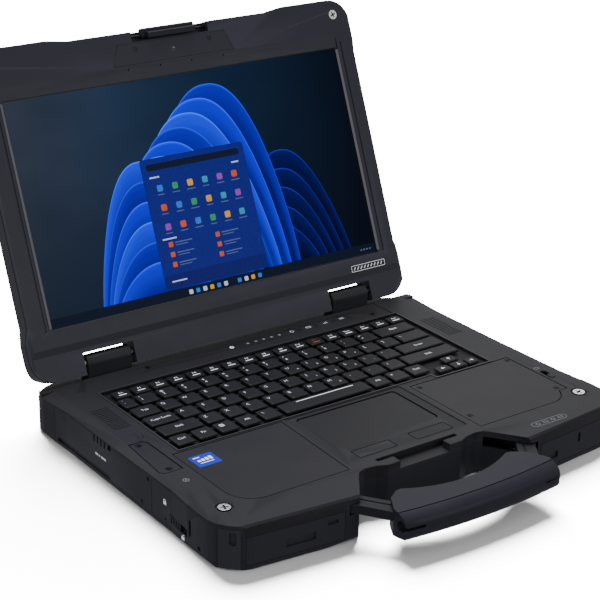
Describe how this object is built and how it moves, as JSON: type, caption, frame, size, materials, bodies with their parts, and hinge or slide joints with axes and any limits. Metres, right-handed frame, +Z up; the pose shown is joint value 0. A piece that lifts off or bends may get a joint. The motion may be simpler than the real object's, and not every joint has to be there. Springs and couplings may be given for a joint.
{
  "type": "laptop computer",
  "caption": "Rugged clamshell laptop computer, lid open, with a pull-out carrying handle at the front, a latch on the lid, reinforced corners and a removable battery.",
  "frame": {"origin": "bottom centre of the whole object's box with the lid open and the handle pulled out, on the surface it stands on", "axes": "+X to the user's right, +Y away from the user towards the hinges, +Z up"},
  "size_m": [0.357, 0.419, 0.2705],
  "materials": {
    "bare_aluminium": "bare",
    "black_screw": "black oxide",
    "board_green": "coated circuit board",
    "case_plastic": "fine textured dark charcoal, painted magnesium and resin",
    "corner_resin": "hard matte elastomer",
    "deck_coat": "satin textured charcoal",
    "foot_rubber": "matte black",
    "handle_resin": "satin blue-grey charcoal",
    "key_plastic": "satin black key caps",
    "light_guide": "clear white light guides",
    "panel_glass": "dark anti-glare glass",
    "panel_plastic": "matte charcoal",
    "screw_steel": "bright plated",
    "shaft_steel": "brushed"
  },
  "bodies": {
    "base": {"bottom_case": "case_plastic", "top_cover": "deck_coat", "front_left_corner_guard": "corner_resin", "front_right_corner_guard": "corner_resin", "front_left_panel": "panel_plastic", "front_right_panel": "panel_plastic", "expansion_module": "panel_plastic", "rear_port_covers": "panel_plastic", "keyboard_tray": "key_plastic", "touchpad": "panel_plastic", "palm_rest_cover": "panel_plastic", "palm_rest_inlay": "panel_plastic", "side_cover": "panel_plastic", "deck_screws": "black_screw", "corner_screws": "screw_steel", "status_lights": "light_guide", "speakers": "panel_plastic", "mainboard": "board_green", "heat_sink": "bare_aluminium", "storage_drive": "bare_aluminium", "rubber_feet": "foot_rubber", "bottom_screws": "black_screw", "left_hinge_post": "case_plastic", "right_hinge_post": "case_plastic", "handle_guides": "case_plastic"},
    "lid": {"lid_rear_shell": "case_plastic", "lid_bezel": "deck_coat", "display_glass": "panel_glass", "display_module": "bare_aluminium", "camera_cover": "case_plastic", "camera_lens": "panel_glass", "lid_screws": "screw_steel", "lid_badge": "bare_aluminium", "left_hinge_arm": "shaft_steel", "right_hinge_arm": "shaft_steel", "latch_pin": "shaft_steel"},
    "lid_latch": {"lid_latch": "handle_resin"},
    "handle": {"handle_grip": "handle_resin", "handle_arms": "handle_resin"},
    "battery": {"battery_pack": "panel_plastic"},
    "battery_latch": {"battery_latch": "key_plastic"},
    "port_door": {"right_port_door": "panel_plastic"},
    "power_switch": {"power_switch": "key_plastic"},
    "fan": {"fan_rotor": "key_plastic"},
    "function_keys": {"function_keys": "key_plastic"},
    "number_keys": {"number_keys": "key_plastic"},
    "upper_letter_keys": {"upper_letter_keys": "key_plastic"},
    "home_row_keys": {"home_row_keys": "key_plastic"},
    "lower_letter_keys": {"lower_letter_keys": "key_plastic"},
    "bottom_row_keys": {"bottom_row_keys": "key_plastic"},
    "space_bar": {"space_bar": "key_plastic"},
    "arrow_keys": {"arrow_keys": "key_plastic"},
    "touchpad_left_button": {"touchpad_left_button": "key_plastic"},
    "touchpad_right_button": {"touchpad_right_button": "key_plastic"},
    "shortcut_button_1": {"shortcut_button_1": "key_plastic"},
    "shortcut_button_2": {"shortcut_button_2": "key_plastic"},
    "shortcut_button_3": {"shortcut_button_3": "key_plastic"},
    "shortcut_button_4": {"shortcut_button_4": "key_plastic"}
  },
  "joints": [
    {"name": "lid_hinge", "type": "hinge", "parent": "base", "child": "lid", "pos_m": [0, 0.10514, 0.0415], "axis": [-1, 0, 0], "range_deg": [-112.5, 27.5]},
    {"name": "latch_pivot", "type": "hinge", "parent": "lid", "child": "lid_latch", "pos_m": [0, 0.19522, 0.26288], "axis": [1, 0, 0], "range_deg": [-12, 12], "stiffness_Nm_per_rad": 0.08},
    {"name": "handle_slide", "type": "slide", "parent": "base", "child": "handle", "axis": [0, 1, 0], "range_m": [0, 0.033]},
    {"name": "battery_slide", "type": "slide", "parent": "base", "child": "battery", "axis": [-1, 0, 0], "range_m": [0, 0.08]},
    {"name": "battery_latch_slide", "type": "slide", "parent": "battery", "child": "battery_latch", "axis": [0, -1, 0], "range_m": [0, 0.0095]},
    {"name": "port_door_hinge", "type": "hinge", "parent": "base", "child": "port_door", "pos_m": [0.1744, -0.02286, 0.0079], "axis": [0, 1, 0], "range_deg": [0, 95]},
    {"name": "power_switch_slide", "type": "slide", "parent": "base", "child": "power_switch", "axis": [0, 1, 0], "range_m": [0, 0.0065], "stiffness_N_per_m": 120},
    {"name": "fan_spin", "type": "hinge", "parent": "base", "child": "fan", "pos_m": [0.06, 0.01714, 0.009], "axis": [0, 0, 1], "continuous": true},
    {"name": "function_keys_press", "type": "slide", "parent": "base", "child": "function_keys", "axis": [0, 0, -1], "range_m": [0, 0.0015], "stiffness_N_per_m": 500},
    {"name": "number_keys_press", "type": "slide", "parent": "base", "child": "number_keys", "axis": [0, 0, -1], "range_m": [0, 0.0015], "stiffness_N_per_m": 500},
    {"name": "upper_letter_keys_press", "type": "slide", "parent": "base", "child": "upper_letter_keys", "axis": [0, 0, -1], "range_m": [0, 0.0015], "stiffness_N_per_m": 500},
    {"name": "home_row_keys_press", "type": "slide", "parent": "base", "child": "home_row_keys", "axis": [0, 0, -1], "range_m": [0, 0.0015], "stiffness_N_per_m": 500},
    {"name": "lower_letter_keys_press", "type": "slide", "parent": "base", "child": "lower_letter_keys", "axis": [0, 0, -1], "range_m": [0, 0.0015], "stiffness_N_per_m": 500},
    {"name": "bottom_row_keys_press", "type": "slide", "parent": "base", "child": "bottom_row_keys", "axis": [0, 0, -1], "range_m": [0, 0.0015], "stiffness_N_per_m": 500},
    {"name": "space_bar_press", "type": "slide", "parent": "base", "child": "space_bar", "axis": [0, 0, -1], "range_m": [0, 0.0015], "stiffness_N_per_m": 500},
    {"name": "arrow_keys_press", "type": "slide", "parent": "base", "child": "arrow_keys", "axis": [0, 0, -1], "range_m": [0, 0.0015], "stiffness_N_per_m": 500},
    {"name": "touchpad_left_button_press", "type": "slide", "parent": "base", "child": "touchpad_left_button", "axis": [0, 0, -1], "range_m": [0, 0.0008], "stiffness_N_per_m": 600},
    {"name": "touchpad_right_button_press", "type": "slide", "parent": "base", "child": "touchpad_right_button", "axis": [0, 0, -1], "range_m": [0, 0.0008], "stiffness_N_per_m": 600},
    {"name": "shortcut_button_1_press", "type": "slide", "parent": "base", "child": "shortcut_button_1", "axis": [0, 0, -1], "range_m": [0, 0.0006], "stiffness_N_per_m": 600},
    {"name": "shortcut_button_2_press", "type": "slide", "parent": "base", "child": "shortcut_button_2", "axis": [0, 0, -1], "range_m": [0, 0.0006], "stiffness_N_per_m": 600},
    {"name": "shortcut_button_3_press", "type": "slide", "parent": "base", "child": "shortcut_button_3", "axis": [0, 0, -1], "range_m": [0, 0.0006], "stiffness_N_per_m": 600},
    {"name": "shortcut_button_4_press", "type": "slide", "parent": "base", "child": "shortcut_button_4", "axis": [0, 0, -1], "range_m": [0, 0.0006], "stiffness_N_per_m": 600}
  ]
}
